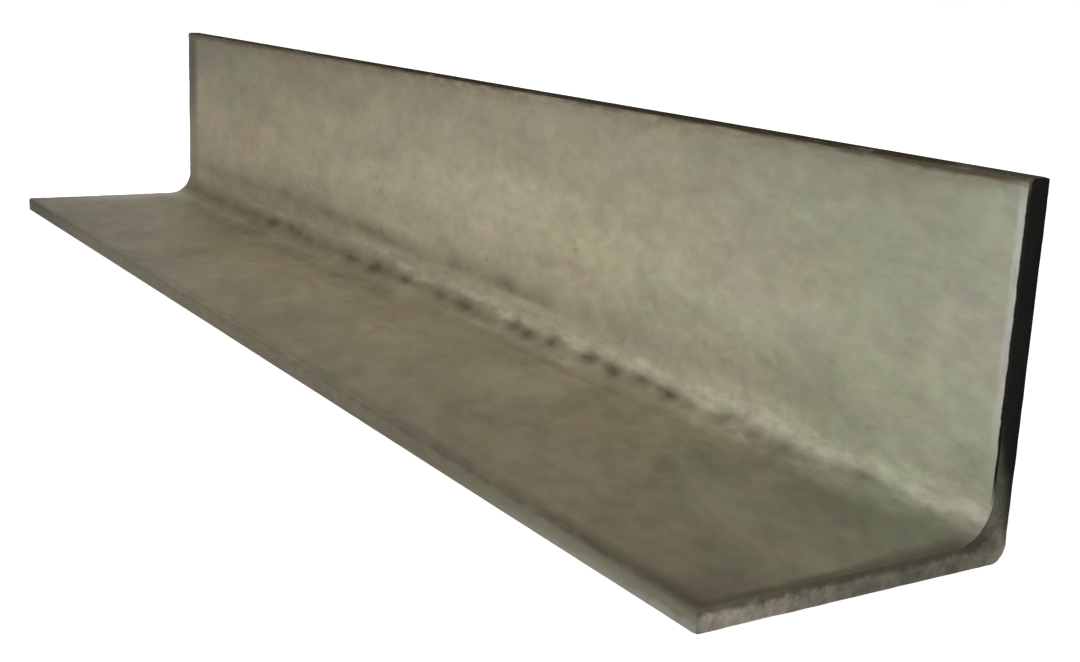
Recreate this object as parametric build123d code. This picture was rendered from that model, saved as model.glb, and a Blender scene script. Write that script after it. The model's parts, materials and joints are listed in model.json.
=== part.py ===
from build123d import *
import os

# Equal-leg angle section: a short cut length of hot-rolled steel bar stock.
#
# The bar is one rolled piece with an L-shaped section. One leg lies flat, the
# other stands up along its rear edge. The inside corner of the L is a round
# root, the outside corner is a lightly rounded heel, and the legs end in
# square toes whose edges the rolls have just broken.
#
# Units are millimetres. +X runs along the bar, +Y points at the outer face of
# the standing leg, and +Z is up. The origin is the middle of the underside.

# Driving dimensions
LEG = 75.0  # width of each leg, measured over the heel
THICKNESS = 5.0  # both legs are equally thick
LENGTH = 465.0  # from one square cut end to the other
ROOT_RADIUS = 9.0  # inside corner, where the legs meet
HEEL_RADIUS = 3.6  # outside corner
TOE_INNER_RADIUS = 1.0  # toe edge on the inside of the L
TOE_OUTER_RADIUS = 0.5  # toe edge on the outside of the L


def round_corner(outline, corner, radius):
    """Round the vertex of a flat outline that lies at the given (y, z)."""
    vertex = outline.vertices().sort_by_distance((*corner, 0))[0]
    return fillet(vertex, radius)


def rolled_section():
    """The L drawn in (y, z), with the flat leg along z = 0 and the heel at y = LEG / 2."""
    front = -LEG / 2
    back = LEG / 2
    inner_back = back - THICKNESS

    legs = Polyline(
        (front, 0),
        (back, 0),
        (back, LEG),
        (inner_back, LEG),
        (inner_back, THICKNESS),
        (front, THICKNESS),
        close=True,
    )
    outline = make_face(legs)

    rounded_corners = [
        ((inner_back, THICKNESS), ROOT_RADIUS),
        ((back, 0), HEEL_RADIUS),
        ((front, THICKNESS), TOE_INNER_RADIUS),
        ((inner_back, LEG), TOE_INNER_RADIUS),
        ((front, 0), TOE_OUTER_RADIUS),
        ((back, LEG), TOE_OUTER_RADIUS),
    ]
    for corner, radius in rounded_corners:
        outline = round_corner(outline, corner, radius)
    return outline


def angle_section():
    """The bar: its section carried straight along X, half the length each way."""
    return extrude(Plane.YZ * rolled_section(), amount=LENGTH / 2, both=True)


os.makedirs("parts", exist_ok=True)
export_step(angle_section(), "parts/angle_section.step")
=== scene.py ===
import json
from functools import cached_property
from itertools import product
from math import cos, pi, radians, sin
from typing import NamedTuple

import bpy
import numpy as np
from bpy.props import FloatProperty, FloatVectorProperty, IntProperty, PointerProperty
from mathutils import Color, Matrix, Vector


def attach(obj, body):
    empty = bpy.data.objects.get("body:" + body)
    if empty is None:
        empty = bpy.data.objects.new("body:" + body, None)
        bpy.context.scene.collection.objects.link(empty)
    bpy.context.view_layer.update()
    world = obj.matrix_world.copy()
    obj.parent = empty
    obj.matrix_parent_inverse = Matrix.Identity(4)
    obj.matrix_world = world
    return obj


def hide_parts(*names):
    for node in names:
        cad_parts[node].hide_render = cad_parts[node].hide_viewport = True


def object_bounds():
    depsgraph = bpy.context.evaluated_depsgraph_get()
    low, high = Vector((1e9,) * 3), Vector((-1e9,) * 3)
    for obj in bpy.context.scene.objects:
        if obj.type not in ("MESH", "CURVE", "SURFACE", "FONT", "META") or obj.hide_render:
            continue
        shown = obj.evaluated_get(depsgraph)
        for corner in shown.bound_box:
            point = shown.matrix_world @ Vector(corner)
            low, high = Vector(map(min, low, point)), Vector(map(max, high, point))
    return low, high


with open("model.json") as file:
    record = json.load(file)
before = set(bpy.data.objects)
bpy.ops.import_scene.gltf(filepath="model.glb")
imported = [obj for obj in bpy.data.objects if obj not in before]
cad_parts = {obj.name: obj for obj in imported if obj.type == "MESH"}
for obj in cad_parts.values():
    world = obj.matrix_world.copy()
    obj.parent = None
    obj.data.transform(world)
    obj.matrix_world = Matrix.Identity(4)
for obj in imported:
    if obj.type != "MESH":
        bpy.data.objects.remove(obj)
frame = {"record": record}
CAD_LOW, CAD_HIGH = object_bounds()

bl_info = {
    "name": "Steel Angle Section",
    "version": (1, 0, 0),
    "blender": (4, 5, 0),
    "location": "View3D > Sidebar > Angle Section",
    "description": "Rolls a length of equal-leg steel angle, with mill skin and sawn ends",
    "category": "Add Mesh",
}

# The bar lies as the frame has it: +X along the bar, +Y towards the outer face of the standing
# leg, +Z up, with the origin in the middle of the underside. Shapes are worked out in
# millimetres and go into the mesh in metres.
MM = 0.001
NODE = "angle_section"
MOUNTS = {mount["name"]: mount for mount in frame["record"]["mounts"]}
THICKNESS = MOUNTS["flat_leg_inside"]["pos_m"][2]

# Cells of the grid that covers the bar.
LEG_CELLS = 38  # across the straight part of each leg
BEND_CELLS = 26  # round the root, and as many round the heel
TOE_CELLS = 8  # across the thickness
BODY_CELLS = 424  # along the bar, between the two fine stretches at its ends
END_CELLS = 8  # along each fine stretch
END_STRETCH = 3.0  # length of a fine stretch

SHARP_ANGLE = radians(42)  # edges that bend further than this are shaded sharp
TOP_STRIP = 0.9  # height of the strip on the standing toe that has its own material
SKIN, CUT, TOP = range(3)  # the mesh's material slots, for rolled_skin, cut_end and toe_scale
SLANT = radians(-29)  # direction in which the mottling is drawn out, from +X

# Added to the seed, so that each kind of relief draws numbers of its own.
WAVES, SCALE, CHIPS, RAGS, SAW, ALONG, ACROSS, THREADS = 10, 11, 12, 13, 20, 30, 31, 35

# The stage, in metres. Its powers, its colours and the lens are in the panel.
FLOOR_LIFT = 0.68  # light that the floor gives off where it is seen directly
KEY_SIZE, KEY_PLACE = 0.9, (0.75, -1.25, 0.5)
FILL_SIZE, FILL_PLACE = 1.2, (-0.6, 1.4, 0.9)
CAMERA_PLACE = (0.41584, -0.18535, 0.10748)
AZIMUTH, ELEVATION, ROLL = radians(57.99), radians(13.47), radians(2.53)  # of the camera
SENSOR_WIDTH = 36.0  # in millimetres

# Marks that the rolls left round the root. Each has its place, measured from the near end at +X,
# its row, measured up the inner faces from the middle of the root, its length and its strength.
SEAM = (
    (31.5, 0.3, 13, 0.58), (39, 0.4, 8, 0.40), (52, -0.6, 10, 0.38), (57.5, -0.7, 12, 0.60),
    (67, -0.6, 8, 0.45), (72, 1.6, 8, 0.40), (79, -0.1, 13, 0.62), (92, -0.3, 14, 0.50),
    (101.5, 0.1, 13, 0.82), (107, 1.2, 9, 0.42), (113, 0.4, 15, 0.68), (124.5, 0.2, 13, 0.86),
    (136.5, 0.7, 14, 0.86), (144, 0.2, 12, 0.34), (155, 0.9, 13, 0.80), (167, 0.3, 12, 0.78),
    (174, 0.6, 11, 0.72), (188, -0.4, 14, 0.34), (198, 0.1, 13, 0.46), (206.5, 0.5, 16, 0.78),
    (221, 0.7, 16, 0.66), (229, 0.9, 10, 0.32), (245.5, 0.8, 15, 0.76), (261, 0.3, 12, 0.55),
    (268.5, 0.5, 15, 1.00), (287, 0.0, 21, 0.74), (296, 0.5, 12, 0.50), (327, 0.2, 16, 0.48),
    (336, 0.7, 15, 0.74), (344, 1.3, 14, 0.70), (360, 0.5, 19, 0.84), (377, 1.0, 16, 0.45),
    (392, 0.0, 26, 0.52), (426, 0.3, 26, 0.42),
)
LAP = (
    (163, 10.6, 13, 0.36), (172, 10.6, 16, 0.34), (184, 11.0, 20, 0.60), (195, 10.6, 14, 0.28),
    (210, 12.0, 12, 0.24), (217, 11.2, 14, 0.38), (226, 10.2, 12, 0.22), (250, 11.0, 20, 0.20),
    (265, 11.0, 26, 0.34), (283, 11.8, 24, 0.44), (300, 11.6, 18, 0.28), (313, 12.4, 22, 0.38),
    (354, 13.4, 20, 0.36), (392, 12.0, 50, 0.16), (430, 12.0, 40, 0.14),
)
FLAKES = (
    (5, 3.0, 10, 0.40), (16, 2.2, 16, 0.55), (34, 3.2, 16, 0.40), (47, 2.2, 12, 0.45),
    (56, 3.0, 13, 0.55), (68, 4.6, 8, 0.80), (70, -2.6, 8, 0.35), (87, 1.6, 10, 0.40),
    (95, 3.4, 13, 0.45), (107, 4.0, 10, 0.55), (115, 4.6, 9, 1.00), (114, 2.9, 7, 0.85),
    (120, 3.4, 10, 0.70), (131, 3.4, 9, 0.45), (136, 5.4, 14, 0.40), (140, -3.0, 9, 0.35),
    (147, 2.9, 10, 0.75), (148, -3.4, 9, 0.35), (168, 3.4, 12, 0.50), (174, 7.6, 34, 0.55),
    (178, -2.6, 40, 0.12), (181.5, 2.6, 14, 0.75), (187, 4.9, 26, 0.35), (192, -2.8, 10, 0.35),
    (205, 4.4, 28, 0.50), (237, 3.4, 16, 0.50), (248, 4.0, 14, 0.75), (269, 6.6, 13, 0.65),
    (282, 6.4, 24, 0.55), (330, 6.0, 20, 0.40), (356, 4.6, 18, 0.50), (381, 4.4, 18, 0.40),
)


def paint(red, green, blue):
    """A colour as Blender holds it, in linear light, from three numbers out of 255 on a screen."""
    screen = np.array([red, green, blue]) / 255
    linear = np.where(screen <= 0.04045, screen / 12.92, ((screen + 0.055) / 1.055) ** 2.4)
    return tuple(float(part) for part in linear)


def length_property(name, description, default):
    """A size in metres, shown in the scene's own units."""
    return FloatProperty(
        name=name, description=description, default=default, min=0.0, precision=5,
        unit="LENGTH", subtype="DISTANCE",
    )


def colour_property(name, description, default):
    """A colour in linear light, shown as a colour field."""
    return FloatVectorProperty(
        name=name, description=description, default=default, min=0.0, max=1.0,
        size=3, subtype="COLOR",
    )


# ---------------------------------------------------------------------------
# Sizes and finishes that a user can change


class AngleSizes(bpy.types.PropertyGroup):
    """The plain section and its length"""

    leg: length_property("Leg", "Width of each leg, measured over the heel", CAD_HIGH.z - CAD_LOW.z)
    thickness: length_property("Thickness", "Thickness of both legs", THICKNESS)
    length: length_property("Length", "From one cut end to the other", CAD_HIGH.x - CAD_LOW.x)
    root_radius: length_property("Root Radius", "Inside corner, where the legs meet", 9.0 * MM)
    heel_radius: length_property("Heel Radius", "Outside corner", 3.6 * MM)
    toe_inner_radius: length_property("Inner Toe Radius", "Toe edge inside the L", 1.0 * MM)
    toe_outer_radius: length_property("Outer Toe Radius", "Toe edge outside the L", 0.5 * MM)


class AngleRelief(bpy.types.PropertyGroup):
    """What rolling and sawing left on the plain section"""

    waviness: length_property("Waviness", "Depth of the long waves left by the rolls", 0.10 * MM)
    scale_relief: length_property("Scale Relief", "Height of the mill scale's patches", 0.03 * MM)
    seam_depth: length_property("Seam Depth", "Depth of the breaks along the root", 0.32 * MM)
    flake_height: length_property("Flake Height", "Height of the flakes above the seam", 0.22 * MM)
    nick_depth: length_property("Nick Depth", "Depth of the nicks in the toe edges", 0.30 * MM)
    end_wear: length_property("End Wear", "How ragged the edges of the cut ends are", 0.14 * MM)
    saw_recess: length_property("Saw Recess", "Depth of the sawn face behind its burr", 0.20 * MM)
    seed: IntProperty(name="Seed", description="Draws another bar of the same kind", default=7)


class AngleFinish(bpy.types.PropertyGroup):
    """Colours of the skin and of the cut ends"""

    # The far colours are darker partly as painted shade along the bar, and the flat leg's colours
    # are darker than the standing leg's partly as painted shade.
    standing_far: colour_property("Standing Leg, Far", "Skin at the far end", paint(143, 135, 112))
    standing_middle: colour_property("Standing Leg, Middle", "Brightest skin", paint(162, 155, 132))
    standing_near: colour_property(
        "Standing Leg, Near", "Skin at the near end", paint(149, 151, 131)
    )
    flat_far: colour_property("Flat Leg, Far", "Skin at the far end", paint(133, 124, 100))
    flat_middle: colour_property("Flat Leg, Middle", "Skin in the middle", paint(152, 143, 118))
    flat_near: colour_property("Flat Leg, Near", "Skin at the near end", paint(133, 126, 104))
    # Darker in the near inside corner as painted shade, greener in tone.
    flat_corner: colour_property(
        "Flat Leg, Corner", "Skin beside the near root", paint(111, 116, 99)
    )
    seam: colour_property("Seam", "Dark scale in the breaks of the root", paint(70, 62, 46))
    seam_edge: colour_property("Seam Edge", "Brown film round the breaks", paint(96, 87, 68))
    flake: colour_property("Flake", "Lifted flakes above the seam", paint(175, 166, 147))
    # Dark scale, and also painted shade along the flat leg's near cut edge.
    scale_and_shade: colour_property("Edge Scale", "Dark scale along the toe edges", paint(70, 62, 49))
    # Pale bare steel, and a painted highlight on the near cut's edge.
    bare_and_highlight: colour_property("Bare Edge", "Steel rubbed bare near the cut", paint(169, 167, 164))
    toe_face: colour_property("Toe Face", "Worn face of the flat leg's toe", paint(104, 102, 85))
    # The cut face darkens from pale to black partly as soot and partly as painted shade.
    cut_pale: colour_property("Cut, Pale", "Cut face at the flat toe", paint(146, 141, 127))
    cut_grey: colour_property("Cut, Grey", "Cut face along the flat leg", paint(100, 97, 86))
    cut_olive: colour_property("Cut, Olive", "Cut face above the heel", paint(78, 78, 65))
    cut_soot_and_shade: colour_property("Cut, Black", "Cut face of the standing leg", paint(18, 16, 13))


class AngleStudio(bpy.types.PropertyGroup):
    """Floor, lamps and lens"""

    ambient: FloatProperty(
        name="Ambient", description="Level of the light from all round", default=0.5, min=0.0
    )
    key: FloatProperty(
        name="Key Lamp", description="Power of the lamp in front", default=17.0, min=0.0,
        unit="POWER",
    )
    fill: FloatProperty(
        name="Fill Lamp", description="Power of the lamp behind", default=6.0, min=0.0,
        unit="POWER",
    )
    floor: colour_property("Floor", "Colour of the floor", (0.8, 0.8, 0.8))
    floor_size: length_property("Floor Size", "Width of the square floor", 14.0)
    lens: FloatProperty(
        name="Lens", description="Focal length of the camera", default=50.05, min=1.0,
        unit="CAMERA",
    )


# ---------------------------------------------------------------------------
# Random relief and soft steps, for whole arrays


def smooth(value, low, high):
    """The smooth step: 0 at low, 1 at high and 3t^2 - 2t^3 between them; low may be above high."""
    t = np.clip((value - low) / (high - low), 0.0, 1.0)
    return t * t * (3.0 - 2.0 * t)


def cloud(points, grain, seed, octaves=3):
    """Random relief from about -1 to 1 at points, an array whose last axis is (x, y, z).

    Each octave draws one number for every corner of a box lattice, blends the eight corners round
    a point with the smooth step, and adds the result at half the height and half the grain of the
    octave before it. grain is the first lattice's cell along X, Y and Z.
    """
    draw = np.random.default_rng(seed)
    low = points.reshape(-1, 3).min(axis=0)
    total = np.zeros(points.shape[:-1])
    for octave in range(octaves):
        place = (points - low) * 2**octave / np.asarray(grain)
        corner = np.floor(place).astype(int)
        inside = smooth(place - corner, 0.0, 1.0)
        lattice = draw.uniform(-1.0, 1.0, corner.reshape(-1, 3).max(axis=0) + 2)
        for step in product((0, 1), repeat=3):
            share = np.where(step, inside, 1.0 - inside).prod(axis=-1)
            total += share * lattice[tuple(np.moveaxis(corner + step, -1, 0))] / 2**octave
    return total


def marks(along, across, table, width):
    """Long pointed marks from 0 to 1, of which the strongest counts at each point.

    A mark fades from its strength in the middle to 0 a little outside its outline, whose width is
    the one given for a mark of full strength, down to 0.6 of it for the faintest.
    """
    place, row, length, strength = np.array(table).T
    lengthwise = np.abs(2.0 * (along[..., None] - place) / length)
    crosswise = 2.0 * (across[..., None] - row) / (width * (0.6 + 0.4 * strength))
    return (strength * smooth(lengthwise**1.5 + crosswise**2, 1.6, 0.0)).max(axis=-1)


def strand(along, across, table, width, thread):
    """Marks strung on one wavering line, from 0 to 1.

    The line runs from mark to mark in the order of the table. It keeps at least the thread's
    level, and swells to each mark's strength. Its level falls off as exp(-c^2), with c = 1 at half
    the width given for full strength, or at half of that where there is none.
    """
    place, row, length, strength = np.array(table).T
    lengthwise = np.abs(2.0 * (along[..., None] - place) / length)
    level = np.maximum((strength * smooth(lengthwise, 1.5, 0.0)).max(axis=-1), thread)
    crosswise = 2.0 * (across - np.interp(along, place, row)) / (width * (0.5 + 0.5 * level))
    return level * np.exp(-(crosswise**2))


# ---------------------------------------------------------------------------
# The rolled section


class Section(NamedTuple):
    """The L's outline as one ring of (y, z) points, anticlockwise seen from the near end."""

    ring: np.ndarray  # (y, z) of each point
    outward: np.ndarray  # unit normal at each point
    reach: np.ndarray  # distance along a face from the middle of its bend, below 0 on the flat leg
    depth: np.ndarray  # distance from the inner faces, from 0 to the thickness
    toe_edge: np.ndarray  # distance from the nearer inner toe corner
    cap: np.ndarray  # ring numbers round a cut end: a grid over the L with its inside left at -1


def travelled(path):
    """Distance along a path of points, from 0 at its middle and below 0 before it."""
    steps = np.linalg.norm(np.diff(path, axis=0), axis=1)
    distance = np.concatenate([[0.0], np.cumsum(steps)])
    return distance - distance[-1] / 2


def eased(cells):
    """Places from 0 to 1 with narrow cells at both ends: u - 0.56 sin(2 pi u) / (2 pi)."""
    u = np.linspace(0.0, 1.0, cells + 1)
    return u - 0.56 * np.sin(2 * pi * u) / (2 * pi)


def bent_path(flat_end, centre, radius, standing_end):
    """Along the flat leg from its toe, round the bend and up the standing leg to its toe.

    The bend is centre + radius * (sin a, -cos a) for a from 0 to 90 degrees, and the two straight
    runs join its ends to flat_end and standing_end.
    """
    angle = np.linspace(0.0, pi / 2, BEND_CELLS + 1)[:, None]
    bend = centre + radius * np.hstack([np.sin(angle), -np.cos(angle)])
    share = eased(LEG_CELLS)[:-1, None]
    flat = flat_end + share * (bend[0] - flat_end)
    standing = standing_end + share[::-1] * (bend[-1] - standing_end)
    return np.vstack([flat, bend, standing])


def toe_path(leg, thickness, outer_radius, inner_radius):
    """Across a toe from the outer face to the inner one, without the two points on those faces.

    A point is (distance from the heel's side, distance from the outer face). Both corners are
    quarter circles, the outer one in 2 cells and the inner one in 3.
    """
    outer = np.linspace(0.0, pi / 2, 3)[1:, None]
    inner = np.linspace(0.0, pi / 2, 4)[:-1, None]
    first = (leg - outer_radius, outer_radius) + outer_radius * np.hstack(
        [np.sin(outer), -np.cos(outer)]
    )
    last = (leg - inner_radius, thickness - inner_radius) + inner_radius * np.hstack(
        [np.cos(inner), np.sin(inner)]
    )
    between = np.linspace(first[-1], last[0], TOE_CELLS - 4)[1:-1]
    return np.vstack([first, between, last])


def rolled_section(sizes):
    """The ring round the L: underside, heel, back, standing toe, inner faces and flat toe."""
    leg, thickness = sizes.leg / MM, sizes.thickness / MM
    root, heel = sizes.root_radius / MM, sizes.heel_radius / MM
    inner_toe, outer_toe = sizes.toe_inner_radius / MM, sizes.toe_outer_radius / MM
    front, back = -leg / 2, leg / 2
    inner_back = back - thickness

    outer = bent_path(
        np.array([front + outer_toe, 0.0]),
        np.array([back - heel, heel]),
        heel,
        np.array([back, leg - outer_toe]),
    )
    inner = bent_path(
        np.array([front + inner_toe, thickness]),
        np.array([inner_back - root, thickness + root]),
        root,
        np.array([inner_back, leg - inner_toe]),
    )
    toe = toe_path(leg, thickness, outer_toe, inner_toe)
    standing_toe = np.column_stack([back - toe[:, 1], toe[:, 0]])
    flat_toe = np.column_stack([back - toe[:, 0], toe[:, 1]])
    ring = np.vstack([outer, standing_toe, inner[::-1], flat_toe[::-1]])

    tangent = np.roll(ring, -1, axis=0) - np.roll(ring, 1, axis=0)
    tangent /= np.linalg.norm(tangent, axis=1, keepdims=True)
    outward = np.column_stack([tangent[:, 1], -tangent[:, 0]])

    end = travelled(inner)[-1]
    toe_ends = np.full(len(toe), end)
    reach = np.concatenate([travelled(outer), toe_ends, travelled(inner)[::-1], -toe_ends])
    toe_depth = thickness - toe[:, 1]
    depth = np.concatenate(
        [np.full(len(outer), thickness), toe_depth, np.zeros(len(inner)), toe_depth[::-1]]
    )

    corners = np.array([[front, thickness], [inner_back, leg]])
    toe_edge = np.linalg.norm(ring[:, None] - corners, axis=2).min(axis=1)

    number = np.arange(len(ring))
    on_outer, on_toe = len(outer), len(toe)
    on_inner = slice(on_outer + on_toe, 2 * on_outer + on_toe)
    cap = np.full((on_outer, on_toe + 2), -1)
    cap[:, 0] = number[:on_outer]
    cap[:, -1] = number[on_inner][::-1]
    cap[-1, 1:-1] = number[on_outer:on_outer + on_toe]
    cap[0, 1:-1] = number[-on_toe:][::-1]
    return Section(ring, outward, reach, depth, toe_edge, cap)


# ---------------------------------------------------------------------------
# The bar


def stations(length):
    """Places along the bar, closer together near its cut ends."""
    half = length / 2
    fine = np.linspace(half - END_STRETCH, half, END_CELLS + 1)
    body = np.linspace(-half + END_STRETCH, half - END_STRETCH, BODY_CELLS + 1)
    return np.concatenate([-fine[:0:-1], body, fine[1:]])


def root_marks(points, section, half, seed):
    """How strongly each point belongs to a dark break and to a lifted flake, from 0 to 1.

    The breaks lie on two strands, the seam in the middle of the root and a fainter lap above it.
    Threads join those of the seam from a fifth of the way along, and those of the lap in its
    middle. Places are shaken by random relief, so that no mark keeps a drawn outline.
    """
    inside = section.depth == 0.0
    along = half - points[..., 0] + 1.6 * cloud(points, (8, 4, 4), seed + ALONG)
    across = section.reach + 0.5 * cloud(points, (9, 3, 3), seed + ACROSS)
    uneven = smooth(cloud(points, (11, 30, 30), seed + THREADS), -1.1, 0.5)
    thread = 0.30 * smooth(along, 0.15 * half, 0.8 * half)
    thread += 0.12 * smooth(along, 1.3 * half, 1.7 * half)
    seam = strand(along, across - 0.2, SEAM, 4.5, uneven * thread)
    thread = 0.10 * smooth(along, 0.6 * half, 0.75 * half) * smooth(along, 1.7 * half, 1.2 * half)
    lap = strand(along, across, LAP, 6.0, uneven * thread)
    breaks = inside * np.maximum(seam, lap)
    flakes = inside * marks(along, across, FLAKES, 3.6) * (1.0 - breaks)
    return breaks, flakes


def skin_relief(points, section, breaks, flakes, half, relief):
    """Height of the rolled skin over the plain section, in millimetres, never above it outside.

    It is long waves plus fine mill scale, less the breaks, plus the flakes, less nicks that fade
    away from the inner toe corners, less wear that fades away from the cut edges.
    """
    seed = relief.seed
    waves = relief.waviness / MM * (cloud(points, (90, 30, 30), seed + WAVES, 2) - 1.0) / 2
    scale = relief.scale_relief / MM * (cloud(points, (5, 4, 4), seed + SCALE) - 1.0) / 2
    root = relief.flake_height / MM * flakes - relief.seam_depth / MM * breaks
    chipped = smooth(cloud(points, (7, 30, 30), seed + CHIPS), 0.25, 0.9)
    nicks = -relief.nick_depth / MM * chipped * np.exp(-((section.toe_edge / 1.3) ** 2))
    from_end = half - np.abs(points[..., 0])
    ragged = np.clip(0.5 + 0.6 * cloud(points, (6, 2, 2), seed + RAGS), 0.0, 1.0)
    wear = -relief.end_wear / MM * ragged * smooth(from_end, 1.4, 0.0) ** 2
    return waves + scale + root + nicks + wear


def sawn_depth(points, edge, relief):
    """How far the sawn face lies behind the bar's end, in millimetres.

    It drops behind its burr within half a millimetre of the edge, and its floor drifts as the
    blade did.
    """
    drift = 1.0 + 0.4 * cloud(points, (8, 8, 8), relief.seed + SAW)
    return relief.saw_recess / MM * drift * smooth(edge, 0.0, 0.5)


def cap_grid(section, skin_row, row_start, first_new, side, relief):
    """One cut end: the numbers of its points as a grid, and the new points inside its edge.

    Each inside point lies on the line between the outer and the inner face, as far along it as the
    matching point of the toe, and is then sunk behind the end.
    """
    numbers = section.cap + row_start
    inside = numbers[1:-1, 1:-1]
    inside[:] = first_new + np.arange(inside.size).reshape(inside.shape)
    outer = skin_row[section.cap[1:-1, 0], None]
    inner = skin_row[section.cap[1:-1, -1], None]
    depth = section.depth[section.cap[0]]
    share = (1.0 - depth / depth[0])[None, 1:-1, None]
    points = outer + share * (inner - outer)
    thickness = np.linalg.norm(inner - outer, axis=2)
    edge = thickness * np.minimum(share, 1.0 - share)[..., 0]
    points[..., 0] -= side * sawn_depth(points, edge, relief)
    return numbers, points.reshape(-1, 3)


def grid_faces(numbers, flip=False):
    """Four-sided faces over a grid of point numbers, as rows of four."""
    corners = [numbers[:-1, :-1], numbers[:-1, 1:], numbers[1:, 1:], numbers[1:, :-1]]
    faces = np.stack(corners, axis=-1).reshape(-1, 4)
    return faces[:, ::-1] if flip else faces


def put_in_mesh(name, points, faces):
    """A mesh from rows of points in millimetres and rows of four point numbers."""
    mesh = bpy.data.meshes.new(name)
    mesh.from_pydata(points * MM, [], faces)
    mesh.update()
    return mesh


def add_layer(mesh, name, *parts):
    """One number for each point of the mesh, in the order of its parts, for materials to read."""
    values = np.concatenate([np.ravel(part) for part in parts])
    layer = mesh.attributes.new(name, "FLOAT", "POINT")
    layer.data.foreach_set("value", values.astype(np.float32))


def roll_bar(sizes, relief):
    """The bar's mesh: the section's ring carried along X, closed by a sawn face at each end."""
    section = rolled_section(sizes)
    along = stations(sizes.length / MM)
    half = along[-1]
    rings, ring_size = len(along), len(section.ring)

    skin = np.empty((rings, ring_size, 3))
    skin[..., 0] = along[:, None]
    skin[..., 1:] = section.ring
    breaks, flakes = root_marks(skin, section, half, relief.seed)
    height = skin_relief(skin, section, breaks, flakes, half, relief)
    skin[..., 1:] += height[..., None] * section.outward

    first_new = rings * ring_size
    last_row = first_new - ring_size
    far_numbers, far_points = cap_grid(section, skin[0], 0, first_new, -1, relief)
    first_new += len(far_points)
    near_numbers, near_points = cap_grid(section, skin[-1], last_row, first_new, 1, relief)

    side_numbers = np.arange(rings * ring_size).reshape(rings, ring_size)
    sides = grid_faces(np.hstack([side_numbers, side_numbers[:, :1]]))
    caps = [grid_faces(far_numbers), grid_faces(near_numbers, flip=True)]
    points = np.vstack([skin.reshape(-1, 3), far_points, near_points])
    points = np.clip(points, np.array(CAD_LOW) / MM, np.array(CAD_HIGH) / MM)
    faces = np.vstack([sides, *caps])
    mesh = put_in_mesh("rolled_angle", points, faces)

    inside = section.cap[1:-1, 1:-1]
    cap_reach = np.broadcast_to(section.reach[section.cap[1:-1, -1:]], inside.shape)
    cap_depth = np.broadcast_to(section.depth[section.cap[0, 1:-1]], inside.shape)
    unmarked = np.zeros(2 * inside.size)
    add_layer(mesh, "breaks", breaks, unmarked)
    add_layer(mesh, "flakes", flakes, unmarked)
    add_layer(mesh, "reach", np.tile(section.reach, rings), cap_reach, cap_reach)
    add_layer(mesh, "depth", np.tile(section.depth, rings), cap_depth, cap_depth)

    high = section.ring[:, 1] > sizes.leg / MM - TOP_STRIP
    ring_slots = np.where(high & np.roll(high, -1), TOP, SKIN)
    cap_slots = np.full(len(faces) - len(sides), CUT)
    slots = np.concatenate([np.tile(ring_slots, rings - 1), cap_slots])
    mesh.polygons.foreach_set("material_index", slots.astype(np.int32))
    mesh.shade_smooth()
    mesh.set_sharp_from_angle(angle=SHARP_ANGLE)
    return mesh


# ---------------------------------------------------------------------------
# Materials


class Level:
    """A number that varies over a surface: the output of one of a bench's nodes.

    Adding and multiplying it add nodes to the bench, and so do its methods.
    """

    def __init__(self, bench, output):
        self.bench, self.output = bench, output

    def maths(self, operation, other):
        """This level and another level or number, joined by one operation."""
        return self.bench.level("ShaderNodeMath", {0: self, 1: other}, operation=operation)

    def __add__(self, other):
        return self.maths("ADD", other)

    def __mul__(self, other):
        return self.maths("MULTIPLY", other)

    __radd__, __rmul__ = __add__, __mul__

    def step(self, low, high, at_low=0.0, at_high=1.0):
        """A soft step from at_low to at_high as the level goes from low to high."""
        inputs = {
            "Value": self, "From Min": low, "From Max": high, "To Min": at_low, "To Max": at_high,
        }
        return self.bench.level("ShaderNodeMapRange", inputs, interpolation_type="SMOOTHSTEP")

    def band(self, start, full, fading, end):
        """0 before start, 1 from full to fading and 0 after end, with soft steps between."""
        return self.step(start, full) * self.step(end, fading)


class Bench:
    """Adds shader nodes to one material or world, each wired as it is added."""

    def __init__(self, owner):
        owner.use_nodes = True
        owner.node_tree.nodes.clear()
        self.owner, self.tree = owner, owner.node_tree

    def node(self, kind, inputs, **settings):
        """A node with its settings. Its inputs are values, colour properties or other outputs."""
        made = self.tree.nodes.new(kind)
        for name, value in settings.items():
            setattr(made, name, value)
        for socket, value in inputs.items():
            if isinstance(value, Level):
                value = value.output
            if isinstance(value, bpy.types.NodeSocket):
                self.tree.links.new(value, made.inputs[socket])
            elif isinstance(value, Color):
                made.inputs[socket].default_value = (*value, 1.0)
            else:
                made.inputs[socket].default_value = value
        return made

    def level(self, kind, inputs, **settings):
        """The first output of a new node, as a level."""
        return Level(self, self.node(kind, inputs, **settings).outputs[0])

    def seen_directly(self):
        """1 for rays from the camera, from gloss and through glass, and 0 for diffuse light."""
        path = self.node("ShaderNodeLightPath", {}).outputs
        seen = Level(self, path["Is Camera Ray"])
        for name in ("Is Glossy Ray", "Is Transmission Ray"):
            seen = seen.maths("MAXIMUM", path[name])
        return seen

    def surface(self, shader, output="ShaderNodeOutputMaterial"):
        """The material or world, with the shader as its surface."""
        self.node(output, {"Surface": shader.outputs[0]}).is_active_output = True
        return self.owner


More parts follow.
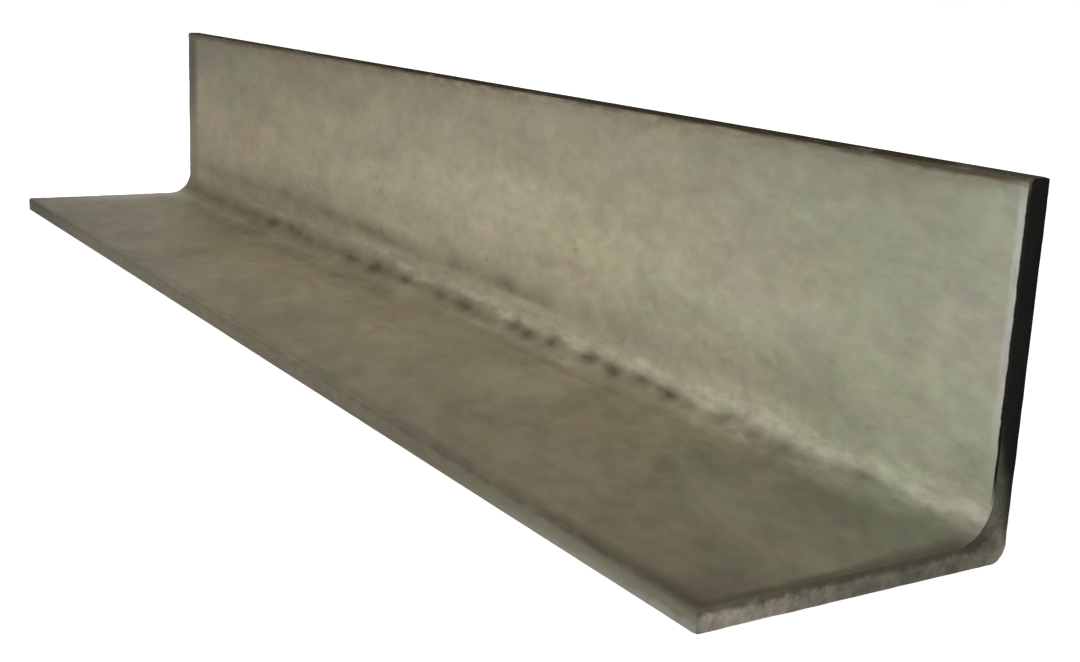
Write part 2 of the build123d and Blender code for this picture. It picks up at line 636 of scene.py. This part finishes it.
class SteelBench(Bench):
    """A bench for the bar's own materials, which measures in millimetres."""

    def __init__(self, name, sizes):
        super().__init__(bpy.data.materials.new(name))
        self.half, self.leg = sizes.length / MM / 2, sizes.leg / MM

    @cached_property
    def place(self):
        """Object coordinates."""
        scaled = {0: self.node("ShaderNodeTexCoord", {}).outputs["Object"], "Scale": 1 / MM}
        return self.node("ShaderNodeVectorMath", scaled, operation="SCALE").outputs[0]

    @cached_property
    def axes(self):
        """X, Y and Z, each as a level."""
        parts = self.node("ShaderNodeSeparateXYZ", {0: self.place}).outputs
        return [Level(self, part) for part in parts]

    @cached_property
    def from_near(self):
        """Distance from the near end."""
        return -1.0 * self.axes[0] + self.half

    def layer(self, name):
        """A number stored with the mesh's points, such as the reach and the depth of a Section."""
        made = self.node("ShaderNodeAttribute", {}, attribute_name=name, attribute_type="GEOMETRY")
        return Level(self, made.outputs["Fac"])

    def along(self, *steps):
        """Soft steps along the bar, added up.

        Each gives where it starts and ends, from -1 at the far end to 1 at the near one, and its
        levels there, or no levels for a step from 0 to 1.
        """
        x, half = self.axes[0], self.half
        first, *others = [x.step(start * half, end * half, *ends) for start, end, *ends in steps]
        return sum(others, first)

    def clouds(self, grain, detail, distortion, shift, slant):
        """The outputs of a noise node, with blobs about as large as grain along X, Y and Z.

        The slant turns the blobs about Z, and the shift picks other blobs.
        """
        inputs = {
            "Vector": self.place, "Location": (10 * shift,) * 3, "Rotation": (0.0, 0.0, slant),
            "Scale": grain,
        }
        at = self.node("ShaderNodeMapping", inputs, vector_type="TEXTURE")
        inputs = {"Vector": at.outputs[0], "Scale": 1.0, "Detail": detail, "Distortion": distortion}
        return self.node("ShaderNodeTexNoise", inputs, noise_dimensions="3D").outputs

    def noise(self, grain, detail, distortion, shift, slant=0.0):
        """Cloudy noise, from about -1 to 1."""
        made = self.clouds(grain, detail, distortion, shift, slant)
        return (Level(self, made[0]) + -0.5) * 4.0

    def drift(self, colour, grain, amount, shift):
        """The colour with its red, green and blue drifting apart in blobs, each by about amount."""
        made = self.clouds(grain, 1.0, 0.4, shift, SLANT)
        inputs = {0: made["Color"], 1: (4 * amount,) * 3, 2: (1 - 2 * amount,) * 3}
        factors = self.node("ShaderNodeVectorMath", inputs, operation="MULTIPLY_ADD").outputs[0]
        both = {0: colour, 1: factors}
        return self.node("ShaderNodeVectorMath", both, operation="MULTIPLY").outputs[0]

    def blend(self, share, first, second):
        """first, turning into second as share goes from 0 to 1."""
        inputs = {0: share, 6: first, 7: second}
        return self.node("ShaderNodeMix", inputs, data_type="RGBA").outputs[2]

    def shade(self, colour, amount):
        """The colour made lighter or darker by 1 + amount."""
        inputs = {0: colour, "Scale": amount + 1.0}
        return self.node("ShaderNodeVectorMath", inputs, operation="SCALE").outputs[0]

    def steel(self, relief, inputs):
        """The material, from the height of its finest relief and its shader's other inputs."""
        bump = self.node("ShaderNodeBump", {"Height": relief, "Distance": MM})
        inputs = {**inputs, "Normal": bump.outputs[0]}
        return self.surface(self.node("ShaderNodeBsdfPrincipled", inputs))


def standing_cast(bench, finish):
    """The standing leg's colour, greener at the near end, with painted shade towards its top and
    its foot.

    Above the root it has painted shade in its far part and a painted band of shade, and below the
    band a painted highlight near the near end. Painted light lifts its top a little close to the
    near end.
    """
    leg, reach, z = bench.leg, bench.layer("reach"), bench.axes[2]
    cast = bench.blend(bench.along((-1.0, 0.3)), finish.standing_far, finish.standing_middle)
    cast = bench.blend(bench.along((0.35, 1.0)), cast, finish.standing_near)
    height = z + 0.08 * leg * bench.noise((55, 14, 14), 2.0, 0.3, 71.0)
    # Painted shade at the top, the foot and over the root, a painted band of shade, a painted
    # highlight below it, and painted light at the top near the near end.
    top = height.step(0.42 * leg, 0.98 * leg) * bench.along((-1.0, 1.0, -0.37, -0.26))
    foot = bench.along((1.0, 0.1, -0.02, -0.13), (-0.2, -0.6, 0.0, -0.04))
    foot *= height.step(0.5 * leg, 0.24 * leg)
    over_root = reach.step(19.0, 11.0) * bench.along((0.15, -0.1, 0.0, -0.06))
    band_shade = bench.along((0.8, 0.3, -0.04, -0.09), (-0.2, -0.6, 0.0, 0.05))
    band_shade *= reach.band(8.0, 10.5, 12.5, 17.0)
    crest_highlight = bench.along((0.5, 0.68, 0.0, 0.13), (0.65, 0.85, 0.0, -0.15))
    crest_highlight *= reach.band(2.5, 5.0, 8.0, 11.0)
    corner = z.step(0.58 * leg, 0.75 * leg) * bench.from_near.step(28.0, 6.0, 0.0, 0.09)
    return bench.shade(cast, top + foot + over_root + band_shade + crest_highlight + corner)


def flat_cast(bench, finish):
    """The flat leg's colour, with painted shade towards its front rim, and painted shade, greener
    in tone, in its near inside corner.

    Beside the root, where the root's arc begins and again in the arc's middle, its tone is raised
    and lowered as painted light and shade.
    """
    leg, reach, y, from_near = bench.leg, bench.layer("reach"), bench.axes[1], bench.from_near
    cast = bench.blend(bench.along((-0.9, 0.1)), finish.flat_far, finish.flat_middle)
    cast = bench.blend(bench.along((0.2, 1.0)), cast, finish.flat_near)
    # front and rim are painted shade; beside, verge, bend and middle are painted light and shade
    # over the root's arc.
    front = y.step(0.2 * leg, -0.45 * leg, 0.0, -0.28)
    rim = bench.along(
        (0.95, 0.75, -0.26, -0.10), (0.65, 0.5, 0.0, -0.05), (0.1, -0.3, 0.0, 0.04)
    )
    rim *= y.step(-0.43 * leg, -0.485 * leg)
    beside = bench.along(
        (0.75, 0.45, 0.08, -0.05), (0.2, 0.0, 0.0, -0.07), (-0.25, -0.45, 0.0, 0.06)
    )
    beside *= reach.step(-22.0, -10.0)
    verge = bench.along((0.2, 0.6, 0.0, 0.09), (0.15, -0.05, 0.0, 0.12))
    verge *= reach.step(-12.0, -8.0)
    bend = bench.along((0.9, 0.7, 0.02, -0.16), (0.3, -0.1, 0.0, 0.07), (-0.1, -0.9, 0.0, 0.08))
    bend *= reach.step(-8.5, -5.0)
    middle = reach.step(-6.0, -2.0) * bench.along((0.6, -0.8, 0.0, -0.36))
    end = from_near.step(16.0, 4.0, 0.0, -0.05)
    tip = from_near.step(34.0, 4.0, 0.0, -0.10) * y.step(-0.22 * leg, -0.42 * leg)
    cast = bench.shade(cast, front + rim + beside + verge + bend + middle + end + tip)
    # Painted shade in the near inside corner, greener in tone.
    corner = from_near.step(110.0, 10.0) * reach.step(-48.0, -4.0)
    return bench.blend(0.75 * corner, cast, finish.flat_corner)


def leg_casts(bench, finish):
    """The two legs' own colours, which meet in a ragged line in the middle of the root's arc.

    In the far quarter the line climbs and goes soft.
    """
    dip = bench.from_near.step(10.0, 0.0, 0.0, -1.5)
    meeting = bench.layer("reach") + 0.9 * bench.noise((9, 2.5, 2.5), 3.0, 0.4, 83.0) + dip
    low = bench.along((-0.9, -0.5, 0.0, -2.9))
    high = bench.along((-0.9, -0.5, 7.5, 3.1))
    flat, standing = flat_cast(bench, finish), standing_cast(bench, finish)
    return bench.blend(meeting.step(low, high), flat, standing)


def mottled(bench, skin, finish):
    """The skin with its mottling and specks, and the height that goes with them.

    Its blobs are longer than they are wide and lie aslant on the flat leg, which is blotchier at
    its ends. The widest drift of colour is at the far end.
    """
    flat_share = bench.layer("reach").step(6.0, -4.0)
    broad = bench.noise((42, 21, 18), 1.0, 0.5, 41.0, SLANT) * (0.08 * flat_share + 0.055)
    patches = bench.noise((17, 9.5, 7.5), 1.0, 0.6, 13.0, SLANT) * (0.02 * flat_share + 0.08)
    mottle = bench.noise((6.8, 4.2, 3.2), 2.0, 0.6, 5.0, SLANT)
    grain = bench.noise((2.0, 1.5, 1.1), 2.0, 0.3, 11.0, SLANT)
    ends = bench.along((0.2, -0.7, -0.2, 0.5), (0.2, 0.8, 0.0, 0.3))
    fine = (0.10 * mottle + 0.04 * grain) * (flat_share * ends + 1.0)
    skin = bench.shade(skin, broad + patches + fine)
    skin = bench.drift(skin, (5.5, 3.6, 3), 0.021, 3.1)
    skin = bench.drift(skin, (17, 10, 8), 0.026, 17.7)
    mixed = bench.drift(skin, (12, 7, 5), 0.04, 47.9)
    skin = bench.blend(0.5 * flat_share, skin, mixed)
    drifted = bench.drift(skin, (50, 26, 20), 0.075, 29.3)
    skin = bench.blend(bench.along((-0.9, -0.1, 1.0, 0.3), (0.4, 1.0, 0.0, 0.2)), skin, drifted)

    spaced = {"Vector": bench.place, "Scale": (1 / 12.0, 1 / 9.0, 1 / 9.0)}
    cells = bench.node("ShaderNodeMapping", spaced).outputs[0]
    specks = bench.node("ShaderNodeTexVoronoi", {"Vector": cells, "Scale": 1.0}).outputs
    chosen = bench.level("ShaderNodeSeparateXYZ", {0: specks["Color"]}).step(0.66, 0.95)
    speck = Level(bench, specks["Distance"]).step(0.16, 0.03) * chosen
    skin = bench.blend(0.32 * speck, skin, finish.scale_and_shade)
    relief = 0.010 * mottle + 0.010 * grain
    return skin, relief * flat_share.step(0.0, 1.0, 1.0, 0.6)


def root_seam(bench, skin, finish):
    """The skin with the root's torn grain, dark far band, flakes and breaks, and their height."""
    reach = bench.layer("reach")
    torn = bench.noise((4.0, 1.6, 1.6), 2.0, 0.5, 51.0)
    rough = reach.band(-7.0, -1.0, 4.0, 10.0) * bench.along((-0.5, 0.3, 0.06, 0.15))
    skin = bench.shade(skin, torn * rough)
    dark = reach.band(-3.5, 0.5, 2.0, 7.0) * bench.along((0.75, -0.1, 0.0, 0.6))
    skin = bench.blend(dark, skin, finish.seam_edge)
    flake = bench.layer("flakes") * (0.7 * torn + 1.0) * bench.along((-0.5, 0.5, 0.35, 0.72))
    skin = bench.blend(flake, skin, finish.flake)
    breaks = bench.layer("breaks") * (0.3 * torn + 1.0)
    bottom = bench.blend(breaks, finish.seam_edge, finish.seam)
    bottom = bench.blend(bench.along((0.5, 0.75)), bottom, finish.cut_olive)
    return bench.blend(0.95 * breaks, skin, bottom), -0.05 * breaks


def worn_ends(bench, skin, finish):
    """The skin with bare, sooty and dark strips beside the two cuts, partly painted highlight and
    shade.
    """
    leg, reach = bench.leg, bench.layer("reach")
    x, y, z = bench.axes
    nibble = bench.noise((5.0, 3.0, 3.0), 2.0, 0.5, 61.0)
    from_near = bench.from_near + -0.4 * nibble
    from_far = x + bench.half + 0.4 * nibble
    on_standing, on_flat = reach.step(1.0, 6.0), reach.step(1.0, -6.0)

    patchy = bench.noise((2.0, 6.0, 6.0), 2.0, 0.5, 73.0).step(-0.7, 0.6, 0.35, 0.8)
    # A pale strip by the near cut: bare steel and a painted highlight on its edge.
    bare = from_near.step(2.9, 1.7) * reach.step(8.0, 28.0) * patchy
    skin = bench.blend(bare, skin, finish.bare_and_highlight)
    # The black of the cut wraps round its edge: soot and painted shade.
    soot_and_shade = (from_near + 0.25 * nibble).step(0.8, 0.45) * reach.step(3.0, 11.0)
    skin = bench.blend(soot_and_shade, skin, finish.cut_soot_and_shade)
    # Painted shade along the flat leg's near cut edge, wider beside the root.
    width = reach.step(-40.0, -15.0, 3.2, 6.6)
    shaded = 0.65 * from_near.step(width, 0.6) * on_flat
    skin = bench.blend(shaded, skin, finish.scale_and_shade)

    dark = from_far.step(14.0, 6.0) * on_standing * z.step(0.35 * leg, 0.75 * leg, 0.4, 0.85)
    skin = bench.blend(dark, skin, finish.scale_and_shade)
    pale = from_far.step(16.0, 6.0) * on_flat * y.step(-0.4 * leg, 0.1 * leg, 0.05, 0.42)
    skin = bench.blend(pale, skin, finish.bare_and_highlight)
    tip = from_far.step(14.0, 5.0) * y.step(-0.36 * leg, -0.46 * leg, 0.0, -0.28)
    return bench.shade(skin, tip)


def worn_flat_toe(bench, skin, finish, long_nibble, pitted):
    """The skin with the flat toe's worn face and speckled rim, and dirt and painted shade at the
    near end.
    """
    depth = bench.layer("depth")
    from_front = bench.axes[1] + 0.5 * bench.leg
    in_front = bench.layer("reach").step(-20.0, -40.0)
    on_toe = from_front.step(0.9, 0.1) * in_front
    browner = bench.along((0.9, 0.5, 0.0, 0.6), (-0.7, -0.9, 0.0, -0.4))
    face = bench.blend(browner, finish.toe_face, finish.seam_edge)
    face = bench.shade(face, bench.along((0.9, 0.5, 0.0, -0.2), (-0.6, -0.95, 0.0, -0.6)))
    skin = bench.blend(on_toe * pitted.step(-0.6, 0.6, 0.7, 1.0), skin, face)
    speckled = from_front.step(5.0, 1.0) * bench.along((0.3, -0.3, 0.0, 0.1))
    skin = bench.shade(skin, pitted * speckled * in_front)
    rubbed = (depth + 0.5 * pitted).step(2.6, 4.6) * bench.along((0.5, 1.0, 0.0, 0.3))
    skin = bench.blend(on_toe * rubbed, skin, finish.bare_and_highlight)

    # Dirt and painted shade along the toe's inner edge, strongest at the near end.
    smeared = (from_front + 1.4 * long_nibble).step(6.0, -4.0) * depth.step(3.0, 0.5)
    smeared *= pitted.step(-0.9, 0.5, 0.4, 0.7)
    core = (from_front + 0.5 * long_nibble).step(2.4, 0.0)
    core *= (depth + 0.3 * long_nibble).step(1.8, 0.2) * pitted.step(-0.9, 0.5, 0.3, 0.6)
    dirt_and_shade = (smeared + core) * bench.along((0.3, 0.85, 0.12, 0.85)) * in_front
    return bench.blend(dirt_and_shade, skin, finish.scale_and_shade)


def stained_top(bench, skin, finish, long_nibble, pitted):
    """The skin with a brown stain below the standing toe, and dark scale along the toe's edge."""
    from_top = -1.0 * bench.axes[2] + bench.leg + 0.6 * long_nibble
    stained = from_top.step(6.0, 0.5) * pitted.step(-0.6, 0.6, 0.25, 0.6)
    stained *= bench.along((0.4, -0.2, 1.0, 1.4))
    skin = bench.blend(stained, skin, finish.seam_edge)
    edge = from_top + bench.along((-1.0, 0.0, -1.8, -0.85), (0.65, 0.93, 0.0, -0.5))
    scaled = edge.step(0.7, -0.5, 0.0, bench.along((0.2, 0.6, 0.8, 0.97)))
    return bench.blend(scaled, skin, finish.scale_and_shade)


def rolled_skin(finish, sizes):
    """Mill skin: mottled olive steel, darker (partly painted shade) and browner on the flat leg,
    and its root seam.
    """
    bench = SteelBench("rolled_skin", sizes)
    skin = leg_casts(bench, finish)
    skin, relief = mottled(bench, skin, finish)
    skin, sunk = root_seam(bench, skin, finish)
    skin = worn_ends(bench, skin, finish)
    long_nibble = bench.noise((14, 2.5, 2.5), 2.0, 0.5, 67.0)
    pitted = bench.noise((5.0, 1.6, 1.6), 2.0, 0.4, 91.0)
    skin = worn_flat_toe(bench, skin, finish, long_nibble, pitted)
    skin = stained_top(bench, skin, finish, long_nibble, pitted)
    return bench.steel(relief + sunk, {
        "Base Color": skin, "Roughness": 3.0 * relief + -5.0 * sunk + 0.56, "Metallic": 0.35,
        "Specular IOR Level": 0.2, "Specular Tint": (0.5, 0.5, 0.5, 1.0),
    })


def cut_end(finish, sizes):
    """Sawn face: pale at the flat toe, greyer towards the heel, and black up the standing leg."""
    bench = SteelBench("cut_end", sizes)
    reach, depth = bench.layer("reach"), bench.layer("depth")
    end = (sizes.leg - sizes.thickness) / MM
    patches = bench.noise((7, 7, 7), 1.0, 0.4, 2.0)
    blotch = bench.noise((2.2, 2.2, 2.2), 2.0, 0.5, 6.0)
    grain = bench.noise((0.8, 0.8, 0.8), 2.0, 0.0, 9.0)
    # The face darkens from pale to black partly as soot and partly as painted shade.
    shifted = reach + 5.0 * patches
    greyer = shifted.step(-0.97 * end, -0.4 * end)
    face = bench.blend(greyer, finish.cut_pale, finish.cut_grey)
    face = bench.blend(shifted.step(2.0, 10.0), face, finish.cut_olive)
    face = bench.blend((shifted + 2.0 * depth).step(13.0, 27.0), face, finish.cut_soot_and_shade)
    heel = 0.45 * reach.band(-9.0, -3.0, 4.0, 10.0) * depth.step(1.5, 4.0)
    face = bench.shade(face, 0.20 * patches + 0.24 * blotch + 0.12 * grain + heel)
    face = bench.drift(face, (5, 5, 5), 0.05, 19.0)

    # A soft dark line along the flat leg's upper edge, and soot and painted shade in the root
    ragged_depth = depth + 0.5 * blotch
    line = 0.75 * ragged_depth.step(2.4, 1.0) * reach.step(4.0, -4.0)
    face = bench.blend(line, face, finish.scale_and_shade)
    root = 0.25 * ragged_depth.step(5.0, 2.4) * (reach + 0.5 * blotch).step(3.4, 1.4)
    face = bench.blend(root * reach.step(-7.0, -3.5), face, finish.cut_soot_and_shade)

    strokes = bench.noise((6.0, 0.5, 9.0), 2.0, 0.0, 13.0)
    return bench.steel(0.016 * strokes + 0.012 * grain + 0.02 * blotch, {
        "Base Color": face, "Roughness": 0.7, "Metallic": 0.1, "Specular IOR Level": 0.05,
    })


def toe_scale(finish, sizes):
    """Matt dark scale on the standing leg's toe, flecked with the skin's own colour."""
    bench = SteelBench("toe_scale", sizes)
    blotch = bench.noise((9, 2.5, 2.5), 3.0, 0.4, 4.0)
    grain = bench.noise((1.0, 0.9, 0.9), 2.0, 0.0, 8.0)
    pale = blotch.step(0.2, 1.0, 0.0, 0.3) + bench.along((0.85, 1.0, 0.0, 0.15))
    scale = bench.blend(pale, finish.scale_and_shade, finish.standing_near)
    scale = bench.shade(scale, 0.2 * grain + bench.along((-0.6, 0.0, 0.0, -0.35)))
    return bench.steel(0.02 * blotch + 0.012 * grain, {
        "Base Color": scale, "Roughness": 0.9, "Specular IOR Level": 0.0,
    })


# ---------------------------------------------------------------------------
# Stage


def floor_paint(studio):
    """Pale paint that takes the bar's shadow and is lifted to white where it is seen directly."""
    bench = Bench(bpy.data.materials.new("floor_paint"))
    diffuse = bench.node("ShaderNodeBsdfDiffuse", {"Color": studio.floor})
    lift = bench.node("ShaderNodeEmission", {"Strength": FLOOR_LIFT * bench.seen_directly()})
    both = bench.node("ShaderNodeAddShader", {0: diffuse.outputs[0], 1: lift.outputs[0]})
    return bench.surface(both)


def lay_floor(studio):
    """A square plate under the bar, facing up."""
    corners = np.array([[-1, -1, 0], [1, -1, 0], [1, 1, 0], [-1, 1, 0]])
    points = corners * studio.floor_size / 2 / MM
    mesh = put_in_mesh("studio_floor", points, [[0, 1, 2, 3]])
    mesh.materials.append(floor_paint(studio))
    floor = bpy.data.objects.new("studio_floor", mesh)
    bpy.context.collection.objects.link(floor)


def hang_lamp(name, power, size, place):
    """A square area lamp aimed at the middle of the bar."""
    light = bpy.data.lights.new(name, "AREA")
    light.energy, light.size = power, size
    lamp = bpy.data.objects.new(name, light)
    lamp.location = place
    middle = (CAD_LOW + CAD_HIGH) / 2
    lamp.rotation_euler = (middle - Vector(place)).to_track_quat("-Z", "Y").to_euler()
    bpy.context.collection.objects.link(lamp)


def light_world(ambient):
    """White behind the bar, and the ambient level for everything else."""
    bench = Bench(bpy.data.worlds.new("studio_world"))
    levels = {"Value": bench.seen_directly(), "To Min": ambient, "To Max": 1.0}
    strength = bench.level("ShaderNodeMapRange", levels)
    white = (1.0, 1.0, 1.0, 1.0)
    background = bench.node("ShaderNodeBackground", {"Color": white, "Strength": strength})
    bpy.context.scene.world = bench.surface(background, "ShaderNodeOutputWorld")


def place_camera(lens):
    """A camera off the near end, in front of the bar and a little above it, rolled slightly."""
    back = Vector(
        (sin(AZIMUTH) * cos(ELEVATION), -cos(AZIMUTH) * cos(ELEVATION), sin(ELEVATION))
    )
    right = Vector((0.0, 0.0, 1.0)).cross(back).normalized()
    up = back.cross(right)
    turned_right = cos(ROLL) * right + sin(ROLL) * up
    turned_up = cos(ROLL) * up - sin(ROLL) * right
    data = bpy.data.cameras.new("studio_camera")
    data.lens, data.sensor_width = lens, SENSOR_WIDTH
    camera = bpy.data.objects.new("studio_camera", data)
    rotation = Matrix((turned_right, turned_up, back)).transposed().to_4x4()
    camera.matrix_world = Matrix.Translation(CAMERA_PLACE) @ rotation
    bpy.context.collection.objects.link(camera)
    bpy.context.scene.camera = camera


# ---------------------------------------------------------------------------
# Operators and panel


class ANGLE_OT_roll_bar(bpy.types.Operator):
    """Roll the angle bar to its sizes and give it its mill skin and cut ends"""

    bl_idname = "angle.roll_bar"
    bl_label = "Roll Bar"

    def execute(self, context):
        sizes, finish = context.scene.angle_sizes, context.scene.angle_finish
        mesh = roll_bar(sizes, context.scene.angle_relief)
        for material in (rolled_skin, cut_end, toe_scale):
            mesh.materials.append(material(finish, sizes))
        bar = bpy.data.objects.new("rolled_angle", mesh)
        context.collection.objects.link(bar)
        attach(bar, "root")
        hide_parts(NODE)
        return {"FINISHED"}


class ANGLE_OT_set_stage(bpy.types.Operator):
    """Set the floor, the lamps, the white surround and the camera"""

    bl_idname = "angle.set_stage"
    bl_label = "Set Stage"

    def execute(self, context):
        studio = context.scene.angle_studio
        context.scene.view_settings.view_transform = "Standard"
        lay_floor(studio)
        light_world(studio.ambient)
        hang_lamp("key_lamp", studio.key, KEY_SIZE, KEY_PLACE)
        hang_lamp("fill_lamp", studio.fill, FILL_SIZE, FILL_PLACE)
        place_camera(studio.lens)
        return {"FINISHED"}


class ANGLE_PT_bar(bpy.types.Panel):
    """Sizes, finish and stage of the angle bar"""

    bl_idname = "ANGLE_PT_bar"
    bl_label = "Angle Section"
    bl_space_type = "VIEW_3D"
    bl_region_type = "UI"
    bl_category = "Angle Section"

    def draw(self, context):
        scene = context.scene
        for group in (scene.angle_sizes, scene.angle_relief, scene.angle_finish):
            self.draw_group(group)
        self.layout.operator(ANGLE_OT_roll_bar.bl_idname)
        self.draw_group(scene.angle_studio)
        self.layout.operator(ANGLE_OT_set_stage.bl_idname)

    def draw_group(self, group):
        column = self.layout.column(align=True)
        for name in group.__annotations__:
            column.prop(group, name)


GROUPS = {
    "angle_sizes": AngleSizes, "angle_relief": AngleRelief, "angle_finish": AngleFinish,
    "angle_studio": AngleStudio,
}
CLASSES = (*GROUPS.values(), ANGLE_OT_roll_bar, ANGLE_OT_set_stage, ANGLE_PT_bar)


def register():
    for each in CLASSES:
        bpy.utils.register_class(each)
    for name, group in GROUPS.items():
        setattr(bpy.types.Scene, name, PointerProperty(type=group))


def unregister():
    for name in GROUPS:
        delattr(bpy.types.Scene, name)
    for each in reversed(CLASSES):
        bpy.utils.unregister_class(each)


def main():
    register()
    bpy.ops.angle.roll_bar()
    bpy.ops.angle.set_stage()


if __name__ == "__main__":
    main()
